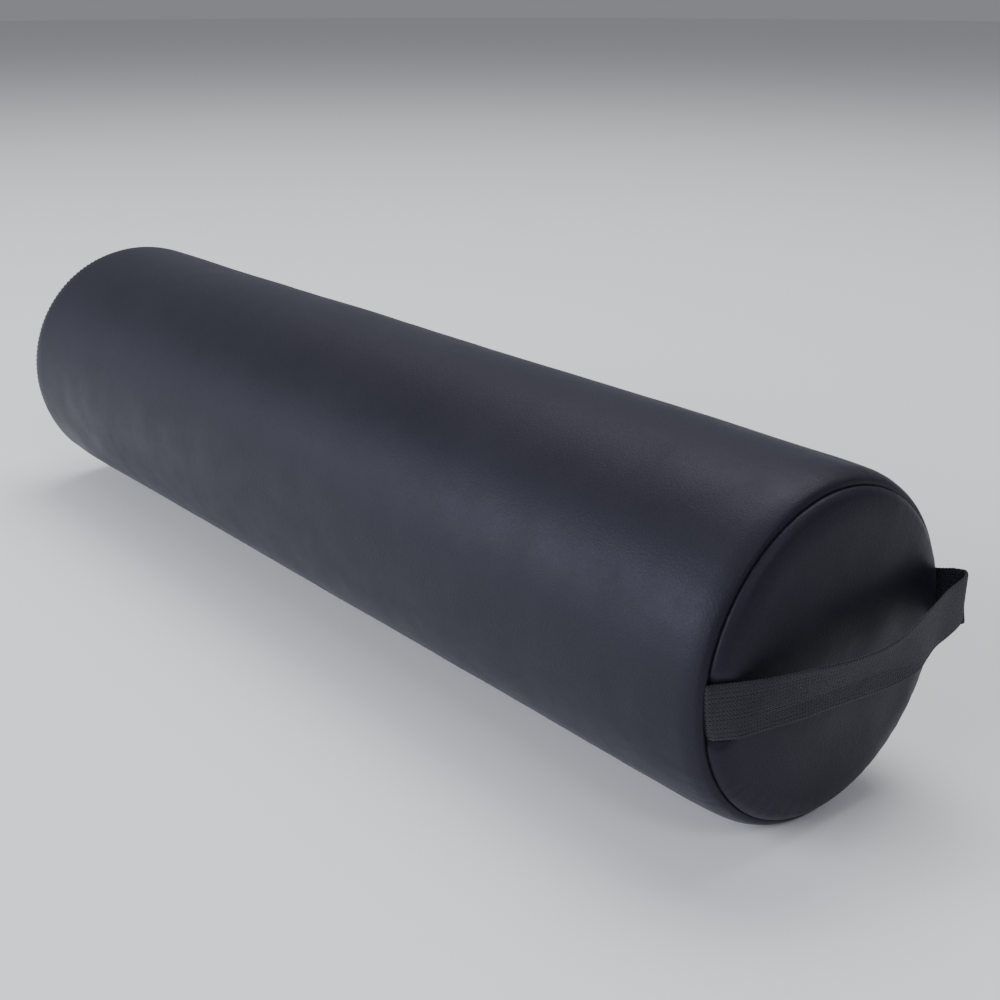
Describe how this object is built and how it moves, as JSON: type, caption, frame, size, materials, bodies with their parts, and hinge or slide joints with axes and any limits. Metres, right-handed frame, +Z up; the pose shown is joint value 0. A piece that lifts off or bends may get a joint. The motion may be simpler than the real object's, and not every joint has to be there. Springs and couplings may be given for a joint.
{
  "type": "bolster pillow",
  "caption": "Round foam bolster in a smooth synthetic-leather cover, with a webbing carry strap sewn across one end and a coil zipper round the other.",
  "frame": {"origin": "middle of the flat patch that the bolster rests on, below its mid-length", "axes": "+X along the bolster towards the handle end, +Y across it to the back, +Z up"},
  "size_m": [0.687, 0.165, 0.1635],
  "materials": {
    "synthetic_leather": "satin",
    "webbing": "matte",
    "foam": "matte",
    "thread": "matte",
    "zip_tape": "matte",
    "zip_coil": "satin",
    "zip_metal": "gloss"
  },
  "bodies": {
    "bolster": {"foam_core": "foam", "cover_barrel": "synthetic_leather", "handle_end_panel": "synthetic_leather", "zip_end_panel": "synthetic_leather", "lengthwise_seam_thread": "thread", "handle_end_seam_thread": "thread", "zip_end_seam_thread": "thread", "strap_tail_front": "webbing", "strap_tail_rear": "webbing", "zip_tape_barrel_side": "zip_tape", "zip_tape_panel_side": "zip_tape", "zip_coil_barrel_side": "zip_coil", "zip_coil_panel_side": "zip_coil", "zip_topstitch_barrel_side": "thread", "zip_topstitch_panel_side": "thread", "zip_top_stops": "zip_metal", "zip_bottom_stop": "zip_metal"},
    "strap": {"handle_strap": "webbing"},
    "slider": {"zip_slider": "zip_metal"},
    "pull": {"zip_pull": "zip_metal"}
  },
  "joints": [
    {"name": "strap_swing", "type": "hinge", "parent": "bolster", "child": "strap", "pos_m": [0.34303, -0.03722, 0.08279], "axis": [0.0942, -0.9906, -0.0989], "range_deg": [-12, 12], "stiffness_Nm_per_rad": 0.02},
    {"name": "zip_travel", "type": "hinge", "parent": "bolster", "child": "slider", "pos_m": [0, 0, 0.081], "axis": [1, 0, 0], "range_deg": [0, 225]},
    {"name": "pull_flip", "type": "hinge", "parent": "slider", "child": "pull", "pos_m": [-0.32694, 0.07646, 0.06278], "axis": [0.7071, 0.6879, -0.1639], "range_deg": [-12, 164]}
  ]
}
